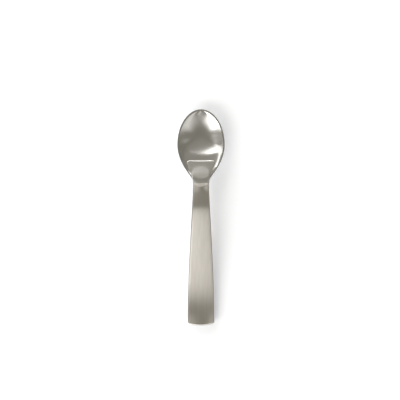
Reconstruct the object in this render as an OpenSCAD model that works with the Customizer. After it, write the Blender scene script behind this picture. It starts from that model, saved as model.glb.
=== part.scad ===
// Teaspoon in satin stainless steel, in millimetres.
// A drawn bowl is lapped by the flared tongue of a forged neck. The neck's tang is
// bedded in a hollow handle of two pressed half-shells that meet on a side seam.
// +Y runs from the handle's end to the bowl's tip, +Z is up, and z = 0 is the table.

/* [Bowl] */
// Length from the bowl's tip to the mouth of the handle
bowl_length = 49; // [44:0.5:56]
// Width over the rim at the widest place
bowl_width = 30.4; // [27:0.1:34]
// Distance from the tip back to the widest place
widest_from_tip = 22.5; // [20:0.5:25]
// Distance behind the widest place at which the two sides would meet
side_taper = 27; // [25:0.5:29]
// Distance from the tip back to the deepest place
deepest_from_tip = 16; // [14:0.5:18]
// Distance from the tip back to the edge of the flat ledge behind the basin
ledge_from_tip = 29.5; // [27.5:0.5:31.5]
// Slope of that ledge up to the neck, in degrees
ledge_slope = 16; // [14:0.5:18]
// Bow of the ledge's edge, seen from above
ledge_bow = 3.6; // [2:0.1:4]
// Half-length of the rounding of the ledge's edge inside the bowl
ledge_round = 1.2; // [0.6:0.1:2]
// Half-length of the rounding of the same turn under the bowl
under_round = 4.5; // [3:0.1:6]
// Power of the curve by which the walls rise beside the ledge
wall_power = 8; // [6:0.5:10]
// Depth inside, below the rim at the widest place
bowl_depth = 6.4; // [6:0.1:7.4]
// Thickness of the sheet at the bottom
bowl_sheet = 1.3; // [0.8:0.1:1.8]
// Width of the rim, seen from above
rim_width = 1; // [0.7:0.1:1.2]
// Height of the rounded edges of the rim
rim_round = 0.15; // [0.1:0.05:0.3]
// Power of the curve over the rim: the smaller, the flatter its land
rim_flat = 0.2; // [0.1:0.05:1]
// Rise of the rim towards the handle, in degrees
rim_tilt = 5.6; // [5:0.1:7]
// Further drop of the rim between the widest place and the tip
tip_drop = 0.2; // [0:0.1:1]

/* [Neck and tongue] */
// Width of the neck at the mouth of the handle
neck_width = 9.9; // [8.5:0.1:11]
// Rounding between the bowl's sides and the neck
neck_blend = 0.8; // [0.4:0.1:1.5]
// Width of the rounded edges along the neck
neck_edge = 0.4; // [0.3:0.05:0.9]
// Length from the mouth of the handle to the bowl's rear edge
neck_length = 6; // [5:0.1:7]
// Length from the mouth of the handle to the tongue's front edge
tongue_length = 15.8; // [14:0.1:18]
// Width of the tongue at its front edge
tongue_width = 19; // [16:0.1:19.4]
// Length from the mouth of the handle to the tongue's waist
waist_length = 4.2; // [3.5:0.1:6]
// Thickness of the tongue at its front edge
tongue_front = 1; // [0.8:0.1:1.4]
// Thickness of the tongue over the bowl's rear edge
tongue_back = 1; // [0.8:0.1:1.3]
// Radius of the tongue's front corners, seen from above
tongue_corner = 2.2; // [1.4:0.1:3]
// Width of the rounded edge round the tongue
tongue_bevel = 0.9; // [0.6:0.1:1.4]
// Upright edge left below that bevel
tongue_edge = 0.2; // [0.1:0.05:0.4]

/* [Handle] */
// Length from the mouth to the end
handle_length = 91; // [80:1:105]
// Width at the end
handle_width = 17.1; // [15:0.1:20]
// Power of the sine curve by which the handle widens
handle_flare = 1.2; // [1:0.05:1.5]
// Thickness at the mouth
mouth_thick = 3.9; // [3.4:0.1:4.6]
// Thickness halfway along
belly_thick = 5.4; // [4.8:0.1:6.4]
// Thickness at the end
end_thick = 4.6; // [4.2:0.1:5.6]
// Slope of the long straight run, in degrees
run_slope = 7.9; // [7.4:0.1:8.4]
// Slope of the nearly level neck down to the bowl, in degrees
neck_slope = 3.4; // [2.4:0.1:4.4]
// Slope of the end, which turns up a little where it is negative, in degrees
end_slope = -5.6; // [-7:0.1:-2]
// Distance from the mouth back to the crest
crest_from_mouth = 13; // [10:0.5:16]
// Rounding of the crest, along the handle
crest_round = 2.9; // [2:0.1:6]
// Distance from the end forward to where the handle levels out
level_from_end = 14; // [11:0.5:18]
// Rounding of that turn, along the handle
level_round = 12.3; // [8:0.1:14]
// Width of the rounded edge, seen from above
edge_width = 1.9; // [1.2:0.1:2.4]
// Height of the rounded edge
edge_height = 1.1; // [0.6:0.05:1.3]
// Crown of the broad faces
crown = 0.2; // [0.05:0.05:0.3]
// Length over which the end is rounded
end_round = 0.7; // [0.4:0.1:1.9]
// Bow of the handle's end, seen from above
end_bow = 1.4; // [0.5:0.1:2.5]
// Bow of the mouth's lip, seen from above
lip_bow = 1.9; // [0.5:0.1:2.2]
// Length over which the lip is rounded
lip_round = 2; // [0.8:0.1:2.4]

/* [Shells and tang] */
// Wall of the half-shells
shell_wall = 0.9; // [0.6:0.05:1.1]
// Solid length at the end of the handle
end_wall = 3; // [2.4:0.1:5]
// Length of the socket in which the neck fits the shells
socket_length = 7; // [4:0.5:10]
// Length of the tang behind the mouth
tang_length = 40; // [25:1:55]
// Width of the tang
tang_width = 5.6; // [4:0.1:6.4]
// Thickness of the tang
tang_thick = 1.8; // [1.2:0.1:2.2]
// Length of the bedding compound behind the mouth
filler_length = 46; // [32:1:64]

/* [Hidden] */
steel = "silver";
resin = "dimgray";

// Stations along the spoon
y_tip = (bowl_length + handle_length) / 2;
y_end = -y_tip;
y_mouth = y_tip - bowl_length;
y_wide = y_tip - widest_from_tip;
y_deep = y_tip - deepest_from_tip;
y_ledge = y_tip - ledge_from_tip;
y_joint = y_mouth + neck_length;
y_front = y_mouth + tongue_length;
y_waist = y_mouth + waist_length;
y_crest = y_mouth - crest_from_mouth;
y_level = y_end + level_from_end;
y_socket = y_mouth - socket_length;
y_tang = y_mouth - tang_length;
y_filler = y_mouth - filler_length;
y_cavity = y_end + end_wall;

// Smallest step between two rings of points
step = 0.05;
// Power of the curve across the basin
dish_power = 2.1;
// Power by which that curve turns into the walls' curve on the way to the ledge
wall_growth = 1.5;
// Turns of the rounded edges, in degrees, from the upright edge to the broad face
edge_turns = [0, 22.5, 45, 67.5, 90];
// Turns used where such an edge closes the front of the tongue or the end of the handle
closing_turns = [12, 30, 50, 70, 90];
// Places of the points across a broad face, as shares of its half-width
face_shares = [-0.5, 0, 0.5];
// Points on the upper half of a section, with the two on the seam
half_count = 2 + 2 * len(edge_turns) + len(face_shares);

function mix(a, b, t) = a + (b - a) * t;
function ease(t) = let (u = min(1, max(0, t))) u * u * (3 - 2 * u);
// A straight rise that starts at x = 0, rounded over about r
function ramp(x, r) = (x + sqrt(x * x + r * r)) / 2;
function spaced(a, b, n) = [for (i = [0 : n]) mix(a, b, i / n)];

// Handle: top line, thickness and plan, all along y
run_rise = tan(run_slope);
crest_turn = run_rise + tan(neck_slope);
level_turn = tan(end_slope) - run_rise;
function along(y) = (y_mouth - y) / handle_length;
function thick(y) = let (u = along(y), bend = 2 * (mouth_thick + end_thick - 2 * belly_thick))
    mouth_thick + (end_thick - mouth_thick - bend) * u + bend * u * u;
function top_line(y) = run_rise * y - crest_turn * ramp(y - y_crest, crest_round)
    - level_turn * ramp(y_level - y, level_round);
function end_rounding(y) = let (short = max(0, 1 - (y - y_end) / end_round))
    edge_height * (1 - sqrt(1 - short * short));
// The lowest part of the handle lies on the table
lift = -min([for (y = spaced(y_end, y_level + level_round, 60))
    top_line(y) - thick(y) + end_rounding(y)]);
function top_z(y) = lift + top_line(y);
function seam_z(y) = top_z(y) - thick(y) / 2;
function handle_half(y) = let (u = min(1, max(0, along(y))))
    mix(neck_width, handle_width, pow(sin(90 * u), handle_flare)) / 2;

// Upper half of a section, from the left of the seam to the right, as [x, height over the seam].
// sx and sz draw it in, close is the sine of the turn where an end is rounded off, and bevel is
// the width of the rounded edge.
function half_section(w, h, sx = 1, sz = 1, close = 1, bevel = edge_width) =
    let (flat = w - bevel, side = h - edge_height - crown,
         edge = [for (a = edge_turns) [flat + bevel * close * cos(a), side + edge_height * close * sin(a)]],
         face = [for (s = face_shares) [s * flat, side + (edge_height + crown * (1 - s * s)) * close]],
         reach = flat + bevel * close)
    [for (p = concat([[-reach, 0]], [for (p = edge) [-p.x, p.y]], face,
                     [for (i = [len(edge) - 1 : -1 : 0]) edge[i]], [[reach, 0]])) [p.x * sx, p.y * sz]];

// Bow of the rings: forward at the sides of the mouth, and back at the sides of the end
function bow(y) = lip_bow * (1 - ease(abs(y - y_mouth) / neck_length))
    + end_bow * ease((y_level - y) / level_from_end);
function bowed(y, x) = y + bow(y) * pow(x / handle_half(y), 2);

// A half-section set at station y, above the seam for side = 1 and below it for side = -1
function set_half(y, half, side) =
    [for (p = half) let (v = bowed(y, p.x)) [p.x, v, seam_z(v) + side * p.y]];
function outer_half(y, close = 1) = half_section(handle_half(y), thick(y) / 2, close = close);
function wall_share_x(y) = 1 - shell_wall / handle_half(y);
function wall_share_z(y) = 1 - shell_wall / (thick(y) / 2);
function cavity_half(y) =
    half_section(handle_half(y), thick(y) / 2, wall_share_x(y), wall_share_z(y));
function seam_row(reach) = [for (x = spaced(-reach, reach, half_count - 1)) [x, 0]];

// Bowl: rim, plan and centre lines
function rim_z(y) = bowl_sheet + bowl_depth + tan(rim_tilt) * (y_wide - y)
    - tip_drop * pow(max(0, (y - y_wide) / widest_from_tip), 2);
function rim_edge_z(y) = rim_z(y) - rim_round;
function side_half(y) = let (u = (y_wide - y) / side_taper, neck = neck_width / 2)
    neck + ramp(bowl_width / 2 * (1 - u * u) - neck, neck_blend);
wide_half = side_half(y_wide);
function plan_half(y, inset) = y <= y_wide ? side_half(y) - inset
    : (wide_half - inset) * sqrt(max(0, 1 - pow((y - y_wide) / (widest_from_tip - inset), 2)));

// Rear centre line: a basin that ends in the straight ledge, over an edge rounded by soft
joint_z = top_z(y_joint) - shell_wall - tongue_back;
ledge_rise = tan(ledge_slope);
basin_run = y_deep - y_ledge;
basin_rise = joint_z - bowl_sheet - ledge_rise * (y_ledge - y_joint);
ledge_turn = 2 * basin_rise / basin_run - ledge_rise;
function rear_line(y, soft) = let (near = max(0, soft - abs(y - y_ledge)))
    (y < y_ledge ? basin_rise + ledge_rise * (y_ledge - y) : basin_rise * pow((y_deep - y) / basin_run, 2))
    - ledge_turn * near * near / (4 * soft);
// Front centre line: the same curvature at the deepest place, and up to the rim at the tip
function front_line(y, run, rise) = let (f = (y - y_deep) / run,
        square = basin_rise * pow(run / basin_run, 2) / rise)
    rise * (square * f * f + (1 - square) * pow(f, 4));
function centre_line(y, floor_z, inset, soft) = floor_z + (y <= y_deep
    ? rear_line(y, soft)
    : let (run = deepest_from_tip - inset) front_line(y, run, rim_edge_z(y_tip - inset) - floor_z));
// Across the bowl the basin is dished, and the ledge is flat between steep walls
function bowl_z(x, y, floor_z, inset, soft) =
    let (half = plan_half(y, inset), s = half > 0 ? min(1, abs(x) / half) : 1,
         low = centre_line(y - ledge_bow * s * s, floor_z, inset, soft),
         t = ease(pow(max(0, (y_deep - y) / basin_run), wall_growth)))
    mix(low, rim_edge_z(y), pow(s, mix(dish_power, wall_power, t)));
function inside_z(x, y) = bowl_z(x, y, bowl_sheet, rim_width, ledge_round);
function outside_z(x, y) = bowl_z(x, y, 0, 0, under_round);

// Tongue: plan and thickness
function corner_inset(y) = let (short = max(0, 1 - (y_front - y) / tongue_corner))
    tongue_corner * (1 - sqrt(1 - short * short));
function tongue_half(y) =
    let (neck = neck_width / 2, grow = (tongue_width / 2 - neck) * (y - y_waist) / (y_front - y_waist))
    neck + ramp(grow, neck_blend) - corner_inset(y);
function tongue_thick(y) = mix(tongue_back, tongue_front, (y - y_joint) / (y_front - y_joint));

// A closed solid from rings of points, with the triangles that close its first ring
module loft(rings, cap) {
    n = len(rings[0]);
    last = len(rings) - 1;
    points = [for (ring = rings) each ring];
    sides = [for (k = [0 : last - 1], i = [0 : n - 1])
        let (a = k * n + i, b = k * n + (i + 1) % n) each [[a, b, b + n], [a, b + n, a + n]]];
    rear = [for (f = cap) [f[2], f[1], f[0]] + [1, 1, 1] * last * n];
    polyhedron(points, concat(cap, sides, rear), convexity = 8);
}
// Strip of triangles between top points first to last and the points below them, where the
// point below top point j has the index sum - j
function strip(first, last, sum) = [for (j = [first : last - 1])
    each [[j, sum - j, j + 1], [j + 1, sum - j, sum - j - 1]]];
seam_point = half_count - 1;
full_sum = 2 * half_count - 2;
full_cap = concat([[2, 1, 0], [2, 0, full_sum - 2], [0, full_sum - 1, full_sum - 2]],
    strip(2, seam_point - 2, full_sum),
    [[seam_point + 2, seam_point + 1, seam_point], [seam_point + 2, seam_point, seam_point - 2],
     [seam_point, seam_point - 1, seam_point - 2]]);
shell_cap = strip(0, seam_point, full_sum + 1);
function reversed(list) = [for (i = [len(list) - 1 : -1 : 0]) list[i]];
function inner_points(list) = [for (i = [1 : len(list) - 2]) list[i]];
function full_ring(top, bottom) = concat(top, reversed(inner_points(bottom)));
function shell_ring(outer, inner) = concat(outer, reversed(inner));

// Drawn bowl
bowl_turn_steps = 28;
bowl_side_steps = 10;
bowl_rear_steps = 8;
inner_levels = 14;
outer_levels = 8;
rim_levels = 4;
function outline(inset) = concat(
    [for (a = spaced(0, 180, bowl_turn_steps))
        [(wide_half - inset) * cos(a), y_wide + (widest_from_tip - inset) * sin(a)]],
    [for (i = [1 : bowl_side_steps]) let (y = mix(y_wide, y_joint, i / bowl_side_steps))
        [-plan_half(y, inset), y]],
    [for (i = [1 : bowl_rear_steps - 1])
        [plan_half(y_joint, inset) * (2 * i / bowl_rear_steps - 1), y_joint]],
    [for (i = [bowl_side_steps : -1 : 1]) let (y = mix(y_wide, y_joint, i / bowl_side_steps))
        [plan_half(y, inset), y]]);
module bowl() {
    inner = outline(rim_width);
    outer = outline(0);
    n = len(inner);
    deep = [0, y_deep];
    function shares(levels) = [for (i = [1 : levels]) sin(90 * i / levels)];
    first_rear = bowl_turn_steps + bowl_side_steps + 1;
    function on_rear(k) = k >= first_rear && k < first_rear + bowl_rear_steps - 1;
    inside = [for (f = shares(inner_levels))
        [for (p = inner) let (q = mix(deep, p, f)) [q.x, q.y, inside_z(q.x, q.y)]]];
    outside = [for (f = reversed(shares(outer_levels)))
        [for (p = outer) let (q = mix(deep, p, f)) [q.x, q.y, outside_z(q.x, q.y)]]];
    rim = [for (i = [1 : rim_levels - 1]) [for (k = [0 : n - 1])
        let (a = 180 * i / rim_levels,
             base = mix(inside[inner_levels - 1][k], outside[0][k], (1 - cos(a)) / 2))
        on_rear(k) ? base : base + [0, 0, rim_round * pow(sin(a), rim_flat)]]];
    rings = concat(inside, rim, outside);
    last = len(rings) - 1;
    points = concat([[0, y_deep, bowl_sheet]], [for (ring = rings) each ring], [[0, y_deep, 0]]);
    bottom = len(points) - 1;
    top_fan = [for (i = [0 : n - 1]) [0, 1 + (i + 1) % n, 1 + i]];
    walls = [for (k = [0 : last - 1], i = [0 : n - 1])
        let (a = 1 + k * n + i, b = 1 + k * n + (i + 1) % n) each [[a, b, b + n], [a, b + n, a + n]]];
    low_fan = [for (i = [0 : n - 1]) [bottom, 1 + last * n + i, 1 + last * n + (i + 1) % n]];
    color(steel) polyhedron(points, concat(top_fan, walls, low_fan), convexity = 6);
}

// Forged neck with its tongue in front and its tang behind
function lap_row(y, close = 1) =
    let (flat = tongue_half(y) - tongue_bevel, high = tongue_thick(y) - tongue_edge,
         edge = [for (a = edge_turns) [flat + tongue_bevel * close * cos(a),
                                       tongue_edge + high * close * sin(a)]],
         face = [for (s = face_shares) [s * flat, tongue_edge + high * close]])
    concat([for (p = edge) [-p.x, p.y]], face, reversed(edge));
function lap_ring(y, close = 1) =
    let (row = lap_row(y, close), n = len(row), half = tongue_edge / 2,
         top = concat([[row[0].x, half]], row, [[row[n - 1].x, half]]))
    full_ring([for (p = top) [p.x, y, inside_z(p.x, y) + p.y]], [for (p = top) [p.x, y, inside_z(p.x, y)]]);
// Across the neck the section passes from the handle's, at the mouth, to the bowl's, at the joint
function neck_share(y) = ease((y - y_mouth) / neck_length);
function neck_half(y) = side_half(y + bow(y));
function neck_top(y) =
    let (w = neck_half(y),
         handle = half_section(w, thick(y) / 2, 1, wall_share_z(y), bevel = neck_edge),
         lap = concat([[-w, tongue_edge]], lap_row(y + bow(y)), [[w, tongue_edge]]))
    [for (j = [0 : half_count - 1])
        let (x = mix(handle[j].x, lap[j].x, neck_share(y)), v = y + bow(y) * pow(x / w, 2))
        [x, v, mix(seam_z(v) + handle[j].y, inside_z(x, v) + lap[j].y, neck_share(y))]];
function neck_under(y) =
    let (w = neck_half(y))
    [for (p = half_section(w, thick(y) / 2)) let (v = y + bow(y) * pow(p.x / w, 2))
        [p.x, v, mix(seam_z(v) - p.y, outside_z(p.x, v), neck_share(y))]];
function neck_ring(y) = full_ring(neck_top(y), neck_under(y));
function socket_ring(y) = full_ring(set_half(y, cavity_half(y), 1), set_half(y, cavity_half(y), -1));
function tang_half(y) =
    let (w = handle_half(y), h = thick(y) / 2)
    half_section(w, h, tang_width / 2 / w, tang_thick / 2 / h);
function tang_ring(y) = full_ring(set_half(y, tang_half(y), 1), set_half(y, tang_half(y), -1));
module neck_tongue() {
    front_rings = [for (a = closing_turns) lap_ring(y_front - tongue_bevel * (1 - cos(a)), sin(a))];
    corner_rings = [for (i = [1 : 2]) lap_ring(y_front - mix(tongue_bevel, tongue_corner, i / 2))];
    lap_rings = [for (i = [1 : 3]) lap_ring(mix(y_front - tongue_corner, y_joint, i / 3))];
    neck_rings = [for (y = spaced(y_joint - step, y_mouth, 8)) neck_ring(y)];
    socket_rings = [for (y = spaced(y_mouth - step, y_socket, 4)) socket_ring(y)];
    tang_rings = [for (y = spaced(y_socket - step, y_tang, 7)) tang_ring(y)];
    color(steel) loft(concat(front_rings, corner_rings, lap_rings, neck_rings, socket_rings, tang_rings),
        full_cap);
}

// Pressed half-shells of the handle
lip_turns = [20, 40, 60, 75];
run_steps = 26;
function lip_half(y, turn) =
    let (outer = outer_half(y), inner = cavity_half(y))
    [for (j = [0 : half_count - 1]) [outer[j].x, mix(inner[j].y, outer[j].y, sin(turn))]];
function open_ring(y, side) =
    shell_ring(set_half(y, outer_half(y), side), set_half(y, cavity_half(y), side));
function shut_ring(y, side, close = 1) =
    let (outer = outer_half(y, close), reach = outer[half_count - 1].x - shell_wall)
    shell_ring(set_half(y, outer, side), set_half(y, seam_row(reach), side));
function run_rings(y_start, side) = concat(
    [for (y = spaced(y_start, y_cavity + shell_wall, run_steps)) open_ring(y, side)],
    [shut_ring(y_cavity, side)],
    [for (a = reversed(closing_turns)) shut_ring(y_end + end_round * (1 - cos(a)), side, sin(a))]);
module handle_top_shell() {
    lip_rings = [for (a = lip_turns) let (y = y_mouth - step - lip_round * (1 - cos(a)))
        shell_ring(set_half(y, lip_half(y, a), 1), set_half(y, cavity_half(y), 1))];
    color(steel) loft(concat(lip_rings, run_rings(y_mouth - lip_round, 1)), shell_cap);
}
module handle_bottom_shell() {
    color(steel) loft(reversed(run_rings(y_mouth - step, -1)), shell_cap);
}

// Bedding compound round the tang
module tang_filler() {
    bore = [for (y = spaced(y_tang, y_socket - step, 7)) tang_ring(y)];
    body = [for (y = spaced(y_socket - step, y_filler, 12)) socket_ring(y)];
    color(resin) loft(concat(bore, body), full_cap);
}

bowl();
neck_tongue();
handle_top_shell();
handle_bottom_shell();
tang_filler();
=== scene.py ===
"""A teaspoon on a white ground, seen from almost straight above.

Fine meshes of its pieces replace the CAD solids, with procedural steel finishes and soft studio light.
"""

import math

import bmesh
import bpy
import numpy as np
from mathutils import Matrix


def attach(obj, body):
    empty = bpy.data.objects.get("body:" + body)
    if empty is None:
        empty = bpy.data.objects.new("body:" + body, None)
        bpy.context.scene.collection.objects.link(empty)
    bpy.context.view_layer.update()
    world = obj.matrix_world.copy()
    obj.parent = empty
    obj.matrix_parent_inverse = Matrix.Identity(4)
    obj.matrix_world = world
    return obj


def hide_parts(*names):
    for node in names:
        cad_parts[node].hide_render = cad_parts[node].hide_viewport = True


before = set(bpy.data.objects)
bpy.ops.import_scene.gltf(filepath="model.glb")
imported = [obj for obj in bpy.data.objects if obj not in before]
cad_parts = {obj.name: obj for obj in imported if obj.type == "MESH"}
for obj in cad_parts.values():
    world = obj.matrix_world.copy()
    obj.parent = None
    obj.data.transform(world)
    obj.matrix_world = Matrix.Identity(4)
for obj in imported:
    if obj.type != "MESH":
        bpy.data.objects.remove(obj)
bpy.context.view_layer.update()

MM = 0.001

# Bowl, in millimetres
BOWL_LENGTH = 49.0
BOWL_WIDTH = 30.25
WIDEST_FROM_TIP = 22.5
SIDE_TAPER = 26.6
SIDE_BLEND = 1.8
DEEPEST_FROM_TIP = 16.0
LEDGE_FROM_TIP = 29.5
LEDGE_SLOPE = math.radians(16.0)
LEDGE_BOW = 3.6
LEDGE_ROUND = 1.2
UNDER_ROUND = 4.5
BOWL_DEPTH = 6.4
BOWL_SHEET = 1.3
RIM_WIDTH = 1.0
RIM_ROUND = 0.15
RIM_FLAT = 0.2
RIM_TILT = math.radians(5.6)
TIP_DROP = 0.2
DISH_POWER = 2.1
WALL_POWER = 8.0
WALL_GROWTH = 1.5
Y_REAR_WALL = 43.0
REAR_WALL_RUN = 8.0
REAR_WALL_POWER = 16.0

# Neck and tongue, in millimetres
NECK_WIDTH = 10.2
NECK_BLEND = 0.8
NECK_EDGE = 0.15
NECK_LENGTH = 6.0
TONGUE_LENGTH = 16.4
TONGUE_WIDTH = 19.0
WAIST_LENGTH = 4.2
TONGUE_FRONT = 1.0
TONGUE_BACK = 1.0
TONGUE_CORNER = 2.2
TONGUE_BEVEL = 0.9
WAIST_BEVEL = 0.12
TONGUE_EDGE = 0.2
SWELL_FROM_FRONT = 2.6
SWELL_ARCH = 5.0
SWELL_SLOPE = 0.065
SWELL_LENGTH = 6.2
SWELL_FRONT_ROUND = 0.3
SWELL_END_ROUND = 1.0
SWELL_HALF = 5.2
SWELL_SIDE = 0.9
SWELL_TAIL = 7.0

# Handle, in millimetres
HANDLE_LENGTH = 91.0
HANDLE_WIDTH = 17.1
HANDLE_FLARE = 1.2
MOUTH_THICK = 3.9
BELLY_THICK = 5.4
END_THICK = 4.6
RUN_SLOPE = math.radians(7.9)
NECK_SLOPE = math.radians(3.4)
END_SLOPE = math.radians(-5.6)
CREST_FROM_MOUTH = 13.0
CREST_ROUND = 2.9
LEVEL_FROM_END = 14.0
LEVEL_ROUND = 12.3
EDGE_WIDTH = 1.9
EDGE_HEIGHT = 1.1
CROWN = 0.2
END_ROUND = 0.7
END_BOW = 1.4
LIP_BOW = 1.9
LIP_AHEAD = 0.7
LIP_ROUND = 1.0
LIP_REACH = 1.7
SHELL_WALL = 0.9
END_WALL = 3.0
SOCKET_LENGTH = 7.0
RING_GAP = 0.05

# Stations along the spoon
Y_TIP = (BOWL_LENGTH + HANDLE_LENGTH) / 2
Y_END = -Y_TIP
Y_MOUTH = Y_TIP - BOWL_LENGTH
Y_WIDE = Y_TIP - WIDEST_FROM_TIP
Y_DEEP = Y_TIP - DEEPEST_FROM_TIP
Y_LEDGE = Y_TIP - LEDGE_FROM_TIP
Y_JOINT = Y_MOUTH + NECK_LENGTH
Y_FRONT = Y_MOUTH + TONGUE_LENGTH
Y_WAIST = Y_MOUTH + WAIST_LENGTH
Y_CREST = Y_MOUTH - CREST_FROM_MOUTH
Y_LEVEL = Y_END + LEVEL_FROM_END
Y_SOCKET = Y_MOUTH - SOCKET_LENGTH
Y_CAVITY = Y_END + END_WALL

# Fineness of the meshes
EDGE_TURNS = np.radians(np.linspace(0, 90, 11))
CLOSING_TURNS = np.radians(np.linspace(9, 90, 10))
LIP_SHARES = np.linspace(0.08, 0.96, 10)
FACE_SHARES = np.linspace(-1, 1, 23)[1:-1]
HALF_COUNT = 2 + 2 * len(EDGE_TURNS) + len(FACE_SHARES)
BOWL_TURNS = np.linspace(0, np.pi, 121)
BOWL_SHARES = np.sin(np.linspace(0, np.pi / 2, 41)[1:])
BOWL_SIDE_POINTS = 41
BOWL_REAR_SHARES = np.linspace(-1, 1, 33)[1:-1]
RIM_TURNS = np.linspace(0, np.pi, 13)[1:-1]
CORNER_RINGS = 9
TONGUE_RINGS = 21
NECK_RINGS = 25
SOCKET_RINGS = 6
SHELL_RINGS = 130
END_WALL_RINGS = 4
END_SAMPLES = 61
CRISP_ANGLE = math.radians(40)


def mix(a, b, t):
    return a + (b - a) * t


def ease(t):
    u = np.clip(t, 0, 1)
    return u * u * (3 - 2 * u)


def ramp(x, r):
    """A straight rise that starts at x = 0, rounded over about r."""
    return (x + np.sqrt(x * x + r * r)) / 2


# Handle: top line, thickness and plan
RUN_RISE = math.tan(RUN_SLOPE)
CREST_TURN = RUN_RISE + math.tan(NECK_SLOPE)
LEVEL_TURN = math.tan(END_SLOPE) - RUN_RISE


def along(y):
    return (Y_MOUTH - y) / HANDLE_LENGTH


def thick(y):
    u = along(y)
    bend = 2 * (MOUTH_THICK + END_THICK - 2 * BELLY_THICK)
    return MOUTH_THICK + (END_THICK - MOUTH_THICK - bend) * u + bend * u * u


def top_line(y):
    return (
        RUN_RISE * y
        - CREST_TURN * ramp(y - Y_CREST, CREST_ROUND)
        - LEVEL_TURN * ramp(Y_LEVEL - y, LEVEL_ROUND)
    )


def lowest_of_end():
    y = np.linspace(Y_END, Y_LEVEL + LEVEL_ROUND, END_SAMPLES)
    short = np.maximum(0, 1 - (y - Y_END) / END_ROUND)
    return np.min(top_line(y) - thick(y) + EDGE_HEIGHT * (1 - np.sqrt(1 - short**2)))


LIFT = -lowest_of_end()


def top_z(y):
    return LIFT + top_line(y)


def seam_z(y):
    return top_z(y) - thick(y) / 2


def handle_half(y):
    u = np.clip(along(y), 0, 1)
    return mix(NECK_WIDTH, HANDLE_WIDTH, np.sin(np.pi / 2 * u) ** HANDLE_FLARE) / 2


def half_section(w, h, sx=1.0, sz=1.0, close=1.0, bevel=EDGE_WIDTH):
    """Upper half of a section as columns x and height over the seam, from left to right."""
    flat = w - bevel
    side = h - EDGE_HEIGHT - CROWN
    edge_x = flat + bevel * close * np.cos(EDGE_TURNS)
    edge_z = side + EDGE_HEIGHT * close * np.sin(EDGE_TURNS)
    face_x = FACE_SHARES * flat
    face_z = side + (EDGE_HEIGHT + CROWN * (1 - FACE_SHARES**2)) * close
    reach = flat + bevel * close
    x = np.concatenate([[-reach], -edge_x, face_x, edge_x[::-1], [reach]])
    z = np.concatenate([[0], edge_z, face_z, edge_z[::-1], [0]])
    return np.column_stack([x * sx, z * sz])


def bow(y):
    lip = LIP_BOW * (1 - ease(abs(y - Y_MOUTH) / NECK_LENGTH))
    return lip + END_BOW * ease((Y_LEVEL - y) / LEVEL_FROM_END)


def set_half(y, half, side, reach=0.0):
    """A half-section at station y, above the seam for side = 1 and below it for side = -1."""
    q = (half[:, 0] / handle_half(y)) ** 2
    v = y + bow(y) * q + reach * (1 - q)
    return np.column_stack([half[:, 0], v, seam_z(v) + side * half[:, 1]])


def outer_half(y, close=1.0):
    return half_section(handle_half(y), thick(y) / 2, close=close)


def cavity_half(y):
    share_x = 1 - SHELL_WALL / handle_half(y)
    share_z = 1 - SHELL_WALL / (thick(y) / 2)
    return half_section(handle_half(y), thick(y) / 2, share_x, share_z)


# Bowl: rim, plan and inner and outer surfaces
def rim_z(y):
    ahead = np.clip((y - Y_WIDE) / WIDEST_FROM_TIP, 0, 1)
    return BOWL_SHEET + BOWL_DEPTH + math.tan(RIM_TILT) * (Y_WIDE - y) - TIP_DROP * ahead**2


def rim_edge_z(y):
    return rim_z(y) - RIM_ROUND


def side_half(y):
    u = (Y_WIDE - y) / SIDE_TAPER
    return NECK_WIDTH / 2 + ramp(BOWL_WIDTH / 2 * (1 - u * u) - NECK_WIDTH / 2, SIDE_BLEND)


WIDE_HALF = side_half(Y_WIDE)


def plan_half(y, inset):
    ahead = np.clip((y - Y_WIDE) / (WIDEST_FROM_TIP - inset), 0, 1)
    front = (WIDE_HALF - inset) * np.sqrt(1 - ahead**2)
    return np.where(y <= Y_WIDE, side_half(np.minimum(y, Y_WIDE)) - inset, front)


JOINT_Z = top_z(Y_JOINT) - SHELL_WALL - TONGUE_BACK
LEDGE_RISE = math.tan(LEDGE_SLOPE)
BASIN_RUN = Y_DEEP - Y_LEDGE
BASIN_RISE = JOINT_Z - BOWL_SHEET - LEDGE_RISE * (Y_LEDGE - Y_JOINT)
LEDGE_TURN = 2 * BASIN_RISE / BASIN_RUN - LEDGE_RISE


def centre_line(y, floor_z, inset, soft):
    """The bowl's middle line: a basin that ends behind in a straight ledge, over an edge rounded by soft."""
    rear = BASIN_RISE * ((Y_DEEP - y) / BASIN_RUN) ** 2
    ledge = BASIN_RISE + LEDGE_RISE * (Y_LEDGE - y)
    near = np.maximum(soft - np.abs(y - Y_LEDGE), 0)
    rear = np.where(y < Y_LEDGE, ledge, rear) - LEDGE_TURN * near**2 / (4 * soft)
    run = DEEPEST_FROM_TIP - inset
    rise = rim_edge_z(Y_TIP - inset) - floor_z
    g = (y - Y_DEEP) / run
    square = BASIN_RISE / BASIN_RUN**2 * run * run / rise
    front = rise * (square * g**2 + (1 - square) * g**4)
    return floor_z + np.where(y <= Y_DEEP, rear, front)


def bowl_z(x, y, floor_z, inset, soft):
    s = np.clip(np.abs(x) / np.maximum(plan_half(y, inset), 1e-6), 0, 1)
    low = centre_line(y - LEDGE_BOW * s**2, floor_z, inset, soft)
    t = ease(np.clip((Y_DEEP - y) / BASIN_RUN, 0, 1) ** WALL_GROWTH)
    rear = REAR_WALL_POWER * ease((Y_REAR_WALL - y) / REAR_WALL_RUN)
    return mix(low, rim_edge_z(y), s ** (mix(DISH_POWER, WALL_POWER, t) + rear))


def inside_z(x, y):
    return bowl_z(x, y, BOWL_SHEET, RIM_WIDTH, LEDGE_ROUND)


def outside_z(x, y):
    return bowl_z(x, y, 0.0, 0.0, UNDER_ROUND)


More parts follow.
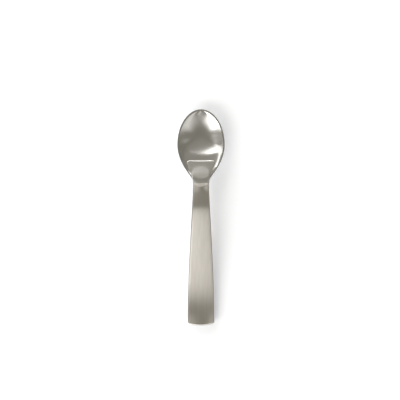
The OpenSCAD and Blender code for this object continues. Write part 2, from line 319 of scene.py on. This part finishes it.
def tongue_half(y):
    grow = (TONGUE_WIDTH - NECK_WIDTH) / 2 * (y - Y_WAIST) / (Y_FRONT - Y_WAIST)
    short = max(0, 1 - (Y_FRONT - y) / TONGUE_CORNER)
    return NECK_WIDTH / 2 + ramp(grow, NECK_BLEND) - TONGUE_CORNER * (1 - math.sqrt(1 - short**2))


def tongue_thick(y):
    return mix(TONGUE_BACK, TONGUE_FRONT, (y - Y_JOINT) / (Y_FRONT - Y_JOINT))


def tongue_bevel(y):
    return mix(WAIST_BEVEL, TONGUE_BEVEL, ease((y - Y_JOINT) / (Y_FRONT - Y_JOINT - TONGUE_CORNER)))


def swell(x, y):
    """A raised field with an arched front on the tongue's face, which fades out towards the neck."""
    behind = Y_FRONT - SWELL_FROM_FRONT - SWELL_ARCH * (2 * x / TONGUE_WIDTH) ** 2 - y
    side_painted_shade = 1 - ease((np.abs(x) - SWELL_HALF) / SWELL_SIDE)
    tail = ease((y - Y_MOUTH - LIP_BOW) / SWELL_TAIL)
    rise = ramp(behind, SWELL_FRONT_ROUND) - ramp(behind - SWELL_LENGTH, SWELL_END_ROUND)
    return SWELL_SLOPE * rise * side_painted_shade * tail


# Meshes
def make_piece(name, points, faces, uvs, material):
    """A smooth mesh from points in millimetres, with edges that turn by CRISP_ANGLE or more kept sharp."""
    mesh = bpy.data.meshes.new(name)
    mesh.from_pydata((np.asarray(points) * MM).tolist(), [], faces)
    layer = mesh.uv_layers.new(name="along")
    loop_vertex = np.empty(len(mesh.loops), dtype=np.int32)
    mesh.loops.foreach_get("vertex_index", loop_vertex)
    layer.data.foreach_set("uv", np.asarray(uvs)[loop_vertex].astype(np.float32).ravel())
    work = bmesh.new()
    work.from_mesh(mesh)
    bmesh.ops.recalc_face_normals(work, faces=work.faces)
    for face in work.faces:
        face.smooth = True
    for edge in work.edges:
        edge.smooth = edge.calc_face_angle(0.0) < CRISP_ANGLE
    work.to_mesh(mesh)
    work.free()
    piece = bpy.data.objects.new(name + "_fine", mesh)
    bpy.context.scene.collection.objects.link(piece)
    mesh.materials.append(material)
    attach(piece, "root")
    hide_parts(name)


def ring_quads(index):
    """Faces between rings of point numbers, and for each point the number of the next on its ring."""
    following = np.roll(index, -1, axis=1)
    quads = np.stack([index[:-1], following[:-1], following[1:], index[1:]], axis=-1)
    return quads.reshape(-1, 4).tolist(), following


def loft(name, rings, back, material):
    """A closed solid from rings of points; back[j] is the index of the point below top point j."""
    rings = np.asarray(rings)
    m, n = rings.shape[:2]
    faces = ring_quads(np.arange(m * n).reshape(m, n))[0]
    for base in (0, (m - 1) * n):
        for j in range(HALF_COUNT - 1):
            corners = [j, j + 1, back[j + 1], back[j]]
            kept = [c for i, c in enumerate(corners) if c not in corners[:i]]
            faces.append([base + c for c in kept])
    across = np.tile(np.arange(n) / n, (m, 1))
    length = np.repeat(np.arange(m) / m, n).reshape(m, n)
    uvs = np.stack([across, length], axis=-1).reshape(-1, 2)
    make_piece(name, rings.reshape(-1, 3), faces, uvs, material)


FULL_BACK = [0] + [2 * HALF_COUNT - 2 - j for j in range(1, HALF_COUNT - 1)] + [HALF_COUNT - 1]
SHELL_BACK = [2 * HALF_COUNT - 1 - j for j in range(HALF_COUNT)]


def full_ring(top, bottom):
    return np.concatenate([top, bottom[1:-1][::-1]])


def shell_ring(outer, inner):
    return np.concatenate([outer, inner[::-1]])


def spoon_bowl(material):
    """Rings from the deepest point up the inside, over the rim and down the outside."""
    side_y = np.linspace(Y_WIDE, Y_JOINT, BOWL_SIDE_POINTS)[1:]

    def outline(inset):
        front_x = (WIDE_HALF - inset) * np.cos(BOWL_TURNS)
        front_y = Y_WIDE + (WIDEST_FROM_TIP - inset) * np.sin(BOWL_TURNS)
        front = np.column_stack([front_x, front_y])
        side_x = plan_half(side_y, inset)
        left = np.column_stack([-side_x, side_y])
        back_x = BOWL_REAR_SHARES * plan_half(Y_JOINT, inset)
        back = np.column_stack([back_x, np.full(len(back_x), Y_JOINT)])
        right = np.column_stack([side_x, side_y])[::-1]
        return np.concatenate([front, left, back, right])

    inner = outline(RIM_WIDTH)
    outer = outline(0.0)
    count = len(inner)
    deep = np.array([0.0, Y_DEEP])
    first_rear = len(BOWL_TURNS) + len(side_y)
    crowned = np.ones(count)
    crowned[first_rear : first_rear + len(BOWL_REAR_SHARES)] = 0
    rings = []
    for f in BOWL_SHARES:
        p = mix(deep, inner, f)
        rings.append(np.column_stack([p, inside_z(p[:, 0], p[:, 1])]))
    rim_in = rings[-1]
    rim_out = np.column_stack([outer, outside_z(outer[:, 0], outer[:, 1])])
    for a in RIM_TURNS:
        ring = mix(rim_in, rim_out, (1 - np.cos(a)) / 2)
        ring[:, 2] += RIM_ROUND * np.sin(a) ** RIM_FLAT * crowned
        rings.append(ring)
    for f in BOWL_SHARES[::-1]:
        p = mix(deep, outer, f)
        rings.append(np.column_stack([p, outside_z(p[:, 0], p[:, 1])]))
    rings = np.asarray(rings)
    index = 1 + np.arange(len(rings) * count).reshape(len(rings), count)
    faces, following = ring_quads(index)
    bottom = 1 + len(rings) * count
    faces += [[0, a, b] for a, b in zip(index[0].tolist(), following[0].tolist())]
    faces += [[bottom, b, a] for a, b in zip(index[-1].tolist(), following[-1].tolist())]
    points = np.concatenate([[[0, Y_DEEP, BOWL_SHEET]], rings.reshape(-1, 3), [[0, Y_DEEP, 0]]])
    uvs = points[:, :2] / BOWL_LENGTH
    make_piece("bowl", points, faces, uvs, material)


def lap_row(y, close=1.0):
    """Places across the tongue, and for each its share of the rise from the foot of the edge to the face."""
    bevel = tongue_bevel(y)
    flat = tongue_half(y) - bevel
    edge_x = flat + bevel * close * np.cos(EDGE_TURNS)
    edge_share = close * np.sin(EDGE_TURNS)
    x = np.concatenate([-edge_x, FACE_SHARES * flat, edge_x[::-1]])
    return x, np.concatenate([edge_share, np.full(len(FACE_SHARES), close), edge_share[::-1]])


def lap_z(x, y, share):
    """The tongue's face is flat across, and its edges stand on the bowl."""
    level = inside_z(0 * x, y)
    foot = np.where(y < Y_JOINT, level, inside_z(x, y)) + TONGUE_EDGE
    return mix(foot, level + tongue_thick(y) + swell(x, y), share)


def with_ends(row, first, last):
    return np.concatenate([[first], row, [last]])


def lap_ring(y, close=1.0):
    """A section of the tongue, whose underside lies on the bowl; close is under 1 at the rounded front."""
    row, row_share = lap_row(y, close)
    x = with_ends(row, -row[-1], row[-1])
    share = with_ends(row_share, 0, 0)
    across = np.full(len(x), y)
    base = inside_z(x, y)
    z = lap_z(x, across, share)
    z[[0, -1]] -= TONGUE_EDGE / 2
    return full_ring(np.column_stack([x, across, z]), np.column_stack([x, across, base]))


def neck_ring(y):
    """The section passes from the handle's, at the mouth, to the bowl's, at the joint."""
    part = ease((y - Y_MOUTH) / NECK_LENGTH)
    w = side_half(y + bow(y))
    share_z = 1 - SHELL_WALL / (thick(y) / 2)
    handle = half_section(w, thick(y) / 2, 1, share_z, bevel=NECK_EDGE)
    lap_x, lap_share = lap_row(y + bow(y))
    x = mix(handle[:, 0], with_ends(lap_x, -w, w), part)
    v = y + bow(y) * (x / w) ** 2
    z = mix(seam_z(v) + handle[:, 1], lap_z(x, v, with_ends(lap_share, 0, 0)), part)
    under = half_section(w, thick(y) / 2)
    u = y + bow(y) * (under[:, 0] / w) ** 2
    under_z = mix(seam_z(u) - under[:, 1], outside_z(under[:, 0], u), part)
    return full_ring(np.column_stack([x, v, z]), np.column_stack([under[:, 0], u, under_z]))


def socket_ring(y):
    half = cavity_half(y)
    return full_ring(set_half(y, half, 1), set_half(y, half, -1))


def neck_tongue(material):
    y_bevel = Y_FRONT - TONGUE_BEVEL
    y_corner = Y_FRONT - TONGUE_CORNER
    rings = [lap_ring(Y_FRONT - TONGUE_BEVEL * (1 - np.cos(a)), np.sin(a)) for a in CLOSING_TURNS]
    rings += [lap_ring(y) for y in np.linspace(y_bevel, y_corner, CORNER_RINGS)[1:]]
    rings += [lap_ring(y) for y in np.linspace(y_corner, Y_JOINT, TONGUE_RINGS)[1:]]
    rings += [neck_ring(y) for y in np.linspace(Y_JOINT - RING_GAP, Y_MOUTH, NECK_RINGS)]
    rings += [socket_ring(y) for y in np.linspace(Y_MOUTH - RING_GAP, Y_SOCKET, SOCKET_RINGS)]
    loft("neck_tongue", rings, FULL_BACK, material)


def shell_run(y_start, side):
    """Rings of a handle half from y_start to the end, where the hollow closes and the end is rounded."""
    rings = []
    for y in np.linspace(y_start, Y_CAVITY + SHELL_WALL, SHELL_RINGS):
        rings.append(shell_ring(set_half(y, outer_half(y), side), set_half(y, cavity_half(y), side)))
    ends = [(y, 1.0) for y in np.linspace(Y_CAVITY, Y_END + END_ROUND, END_WALL_RINGS)[:-1]]
    ends += [(Y_END + END_ROUND * (1 - np.cos(a)), np.sin(a)) for a in CLOSING_TURNS[::-1]]
    for y, close in ends:
        outer = outer_half(y, close)
        reach = outer[-1, 0] - SHELL_WALL
        seam = np.column_stack([np.linspace(-reach, reach, HALF_COUNT), np.zeros(HALF_COUNT)])
        rings.append(shell_ring(set_half(y, outer, side), set_half(y, seam, side)))
    return rings


def handle_top_shell(material):
    """The upper handle half; its lip is a chamfer that reaches further forward in the middle."""
    rings = []
    for u in LIP_SHARES:
        y = Y_MOUTH + LIP_AHEAD - LIP_ROUND * u
        outer = outer_half(y)
        inner = cavity_half(y)
        outer[:, 1] = mix(inner[:, 1], outer[:, 1], u)
        reach = LIP_REACH * (1 - u)
        rings.append(shell_ring(set_half(y, outer, 1, reach), set_half(y, inner, 1, reach)))
    rings += shell_run(Y_MOUTH + LIP_AHEAD - LIP_ROUND, 1)
    loft("handle_top_shell", rings, SHELL_BACK, material)


def handle_bottom_shell(material):
    rings = shell_run(Y_MOUTH - RING_GAP, -1)
    loft("handle_bottom_shell", rings, SHELL_BACK, material)


# Materials: numbers of the finishes and of the painted shade on the handle's sides, with places and radii in
# millimetres
NOISE_LOW = 0.25
NOISE_HIGH = 0.75
WIDE_DETAIL = 3.0
FINE_DETAIL = 4.0
RELIEF_DEPTH = 0.02
FIELD_INNER = 0.9
FIELD_OUTER = 1.05
TONGUE_FIELD = ((0, 29.7), (5.4, 4.0), 0.13)
LIP_FIELD = ((0, 22.2), (5.6, 1.9), 0.36)
# Painted shade: a dark colour on the handle's upright sides that stands in for their dark outlines
SIDE_PAINTED_SHADE_COLOUR = (0.28, 0.27, 0.26, 1)
SIDE_STEEP = 0.6
SIDE_FLAT = 0.84


def set_range(node, from_min, from_max, to_min, to_max):
    node.inputs["From Min"].default_value = from_min
    node.inputs["From Max"].default_value = from_max
    node.inputs["To Min"].default_value = to_min
    node.inputs["To Max"].default_value = to_max


def new_material(name):
    material = bpy.data.materials.new(name)
    material.use_nodes = True
    nodes = material.node_tree.nodes
    return material, nodes, material.node_tree.links, nodes["Principled BSDF"]


def streaks(nodes, links, scale, detail):
    """Noise in object space, in cycles per millimetre along each axis."""
    place = nodes.new("ShaderNodeTexCoord")
    stretch = nodes.new("ShaderNodeMapping")
    stretch.inputs["Scale"].default_value = [s / MM for s in scale]
    noise = nodes.new("ShaderNodeTexNoise")
    noise.inputs["Scale"].default_value = 1.0
    noise.inputs["Detail"].default_value = detail
    links.new(place.outputs["Object"], stretch.inputs["Vector"])
    links.new(stretch.outputs["Vector"], noise.inputs["Vector"])
    return noise.outputs["Fac"]


def remap(nodes, links, value, low, high):
    """The middle range of a noise, stretched to run from low to high."""
    node = nodes.new("ShaderNodeMapRange")
    set_range(node, NOISE_LOW, NOISE_HIGH, low, high)
    links.new(value, node.inputs["Value"])
    return node.outputs["Result"]


def fade(nodes, links, value, start, stop, to_min, to_max):
    """A smooth change from to_min to to_max while value goes from start to stop."""
    node = nodes.new("ShaderNodeMapRange")
    node.interpolation_type = "SMOOTHSTEP"
    set_range(node, start, stop, to_min, to_max)
    links.new(value, node.inputs["Value"])
    return node.outputs["Result"]


def patch(nodes, links, centre, radii):
    """A mask that is 1 inside an ellipse in the XY plane, given in millimetres, and 0 outside."""
    place = nodes.new("ShaderNodeTexCoord")
    offset = nodes.new("ShaderNodeVectorMath")
    offset.operation = "SUBTRACT"
    offset.inputs[1].default_value = (centre[0] * MM, centre[1] * MM, 0)
    links.new(place.outputs["Object"], offset.inputs[0])
    scaled = nodes.new("ShaderNodeVectorMath")
    scaled.operation = "MULTIPLY"
    scaled.inputs[1].default_value = (1 / radii[0] / MM, 1 / radii[1] / MM, 0)
    links.new(offset.outputs["Vector"], scaled.inputs[0])
    distance = nodes.new("ShaderNodeVectorMath")
    distance.operation = "LENGTH"
    links.new(scaled.outputs["Vector"], distance.inputs[0])
    return fade(nodes, links, distance.outputs["Value"], FIELD_INNER, FIELD_OUTER, 1, 0)


def blend(nodes, links, share, low, high):
    node = nodes.new("ShaderNodeMix")
    node.data_type = "RGBA"
    node.inputs["A"].default_value = (*low, 1)
    node.inputs["B"].default_value = (*high, 1)
    links.new(share, node.inputs["Factor"])
    return node.outputs["Result"]


def lift(nodes, links, value, mask, amount):
    """The value, raised by amount where the mask is 1."""
    node = nodes.new("ShaderNodeMath")
    node.operation = "MULTIPLY_ADD"
    node.inputs[1].default_value = amount
    links.new(mask, node.inputs[0])
    links.new(value, node.inputs[2])
    return node.outputs["Value"]


def grained(name, colours, wide, grain, roughness, bump, metallic, field=None):
    """A finish whose colour follows a wide grain, and whose roughness and relief follow a fine one.

    A field is an ellipse, as centre and radii, and how much rougher the finish is inside it.
    """
    material, nodes, links, shader = new_material(name)
    tone = remap(nodes, links, streaks(nodes, links, wide, WIDE_DETAIL), 0, 1)
    links.new(blend(nodes, links, tone, *colours), shader.inputs["Base Color"])
    shader.inputs["Metallic"].default_value = metallic
    fine = streaks(nodes, links, grain, FINE_DETAIL)
    rough = remap(nodes, links, fine, *roughness)
    if field:
        centre, radii, amount = field
        rough = lift(nodes, links, rough, patch(nodes, links, centre, radii), amount)
    links.new(rough, shader.inputs["Roughness"])
    relief = nodes.new("ShaderNodeBump")
    relief.inputs["Strength"].default_value = bump
    relief.inputs["Distance"].default_value = RELIEF_DEPTH * MM
    links.new(fine, relief.inputs["Height"])
    links.new(relief.outputs["Normal"], shader.inputs["Normal"])
    return material, nodes, links, shader


def bowl_finish():
    colours = ((0.65, 0.64, 0.62), (0.67, 0.66, 0.64))
    return grained("bowl_steel", colours, (0.2,) * 3, (1.6,) * 3, (0.2, 0.25), 0.05, 1.0)[0]


def neck_finish():
    colours = ((0.64, 0.63, 0.6), (0.68, 0.67, 0.64))
    wide = (0.9, 0.12, 0.9)
    grain = (2.0, 0.5, 2.0)
    return grained("neck_steel", colours, wide, grain, (0.31, 0.37), 0.05, 1.0, TONGUE_FIELD)[0]


def painted_side_shade_mask(nodes, links):
    """A mask that is 1 where the surface looks up or down, and 0 on upright sides, where the painted shade
    goes.
    """
    surface = nodes.new("ShaderNodeNewGeometry")
    parts = nodes.new("ShaderNodeSeparateXYZ")
    links.new(surface.outputs["Normal"], parts.inputs["Vector"])
    level = nodes.new("ShaderNodeMath")
    level.operation = "ABSOLUTE"
    links.new(parts.outputs["Z"], level.inputs[0])
    return fade(nodes, links, level.outputs["Value"], SIDE_STEEP, SIDE_FLAT, 0, 1)


def handle_finish():
    """Brushed along the handle, so that a highlight spreads across the strokes; the upright sides are
    darkened with painted shade.
    """
    colours = ((0.81, 0.775, 0.715), (0.885, 0.845, 0.785))
    wide = (0.8, 0.012, 0.8)
    grain = (3.0, 0.03, 3.0)
    material, nodes, links, shader = grained(
        "handle_steel", colours, wide, grain, (0.38, 0.44), 0.05, 1.0, LIP_FIELD
    )
    shader.inputs["Anisotropic"].default_value = 1.0
    face_colour = shader.inputs["Base Color"].links[0].from_socket
    # Painted shade: upright sides take the dark side colour in place of the steel's own colour
    side_painted_shade = nodes.new("ShaderNodeMix")
    side_painted_shade.data_type = "RGBA"
    side_painted_shade.inputs["A"].default_value = SIDE_PAINTED_SHADE_COLOUR
    links.new(painted_side_shade_mask(nodes, links), side_painted_shade.inputs["Factor"])
    links.new(face_colour, side_painted_shade.inputs["B"])
    links.new(side_painted_shade.outputs["Result"], shader.inputs["Base Color"])
    tangent = nodes.new("ShaderNodeTangent")
    tangent.direction_type = "UV_MAP"
    tangent.uv_map = "along"
    links.new(tangent.outputs["Tangent"], shader.inputs["Tangent"])
    return material


def resin_finish():
    colours = ((0.3, 0.25, 0.17), (0.4, 0.34, 0.24))
    return grained("filler_resin", colours, (0.4,) * 3, (3.0,) * 3, (0.45, 0.6), 0.3, 0.0)[0]


# Ground, light and camera, with places and sizes in metres
GROUND_REACH = 1.5
GROUND_COLOUR = (0.9, 0.9, 0.9, 1)
GROUND_ROUGHNESS = 0.9
GROUND_GLOW_COLOUR = (0.96, 1, 1.1, 1)
GROUND_GLOW = 0.25
ROOM = (0.262, 0.25, 0.215, 1)
VIEW_WIDTH = 0.2572
VIEW_DISTANCE = 1.6
VIEW_TILT = math.radians(4.8)
VIEW_AIM = np.array([-0.00065, 0.0117, 0.007])

# Soft panels of light: azimuth, elevation, half-width, half-height, softness of the sides and of top and
# bottom, all in degrees, and radiance. Azimuth turns from +X towards +Y.
CARDS = [
    (140, 2, 36.5, 43, 2.5, 8, 1.4),
    (229.5, 6, 30, 40, 6.5, 16, 4.2),
    (206, 4, 10, 26, 3, 11.5, 1.3),
    (313, 2, 34.5, 46, 6, 20, 0.69),
    (113, 26, 19, 9, 4, 8, 2.5),
    (90, 18, 14, 9, 6, 5, 2.4),
    (90, 55, 40, 22, 20, 15, 0.07),
]


def add_ground():
    mesh = bpy.data.meshes.new("ground")
    corners = [(x * GROUND_REACH, y * GROUND_REACH, 0) for x, y in ((-1, -1), (1, -1), (1, 1), (-1, 1))]
    mesh.from_pydata(corners, [], [(0, 1, 2, 3)])
    ground = bpy.data.objects.new("ground", mesh)
    bpy.context.scene.collection.objects.link(ground)
    material, _, _, shader = new_material("white_ground")
    shader.inputs["Base Color"].default_value = GROUND_COLOUR
    shader.inputs["Roughness"].default_value = GROUND_ROUGHNESS
    shader.inputs["Emission Color"].default_value = GROUND_GLOW_COLOUR
    shader.inputs["Emission Strength"].default_value = GROUND_GLOW
    mesh.materials.append(material)


def add_card(nodes, links, azimuth, elevation, width, height, soft_sides, soft_top, radiance):
    """The light of one soft-edged panel in the sky, from a row of CARDS."""
    a = math.radians(azimuth)
    e = math.radians(elevation)
    centre = (math.cos(e) * math.cos(a), math.cos(e) * math.sin(a), math.sin(e))
    right = (-math.sin(a), math.cos(a), 0)
    up = (-math.sin(e) * math.cos(a), -math.sin(e) * math.sin(a), math.cos(e))
    place = nodes.new("ShaderNodeTexCoord")

    def along_axis(axis):
        node = nodes.new("ShaderNodeVectorMath")
        node.operation = "DOT_PRODUCT"
        node.inputs[1].default_value = axis
        links.new(place.outputs["Generated"], node.inputs[0])
        return node.outputs["Value"]

    def maths(operation, first, second):
        node = nodes.new("ShaderNodeMath")
        node.operation = operation
        for socket, value in zip(node.inputs, (first, second)):
            if isinstance(value, (int, float)):
                socket.default_value = value
            else:
                links.new(value, socket)
        return node.outputs["Value"]

    ahead = along_axis(centre)
    light = radiance
    for axis, half, soft in ((right, width, soft_sides), (up, height, soft_top)):
        angle = maths("ABSOLUTE", maths("ARCTAN2", along_axis(axis), ahead), 0)
        inner = math.radians(half - soft)
        outer = math.radians(half + soft)
        light = maths("MULTIPLY", fade(nodes, links, angle, inner, outer, 1, 0), light)
    return light


def add_world():
    """A dim room with the light of all panels added to it."""
    world = bpy.data.worlds.new("studio")
    world.use_nodes = True
    bpy.context.scene.world = world
    nodes = world.node_tree.nodes
    links = world.node_tree.links
    total = None
    for card in CARDS:
        light = add_card(nodes, links, *card)
        if total is not None:
            both = nodes.new("ShaderNodeMath")
            links.new(total, both.inputs[0])
            links.new(light, both.inputs[1])
            light = both.outputs["Value"]
        total = light
    lit = nodes.new("ShaderNodeMix")
    lit.data_type = "RGBA"
    lit.blend_type = "ADD"
    lit.inputs["Factor"].default_value = 1.0
    lit.inputs["A"].default_value = ROOM
    links.new(total, lit.inputs["B"])
    links.new(lit.outputs["Result"], nodes["Background"].inputs["Color"])


def add_camera():
    data = bpy.data.cameras.new("above")
    data.sensor_fit = "HORIZONTAL"
    data.angle = 2 * math.atan(VIEW_WIDTH / 2 / VIEW_DISTANCE)
    camera = bpy.data.objects.new("above", data)
    camera.location = VIEW_AIM + VIEW_DISTANCE * np.array([0, math.sin(VIEW_TILT), math.cos(VIEW_TILT)])
    camera.rotation_euler = (-VIEW_TILT, 0, 0)
    bpy.context.scene.collection.objects.link(camera)
    bpy.context.scene.camera = camera


# Build
handle_steel = handle_finish()
spoon_bowl(bowl_finish())
neck_tongue(neck_finish())
handle_top_shell(handle_steel)
handle_bottom_shell(handle_steel)
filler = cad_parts["tang_filler"].data.materials
filler.clear()
filler.append(resin_finish())

bpy.context.scene.view_settings.view_transform = "Standard"
add_ground()
add_world()
add_camera()
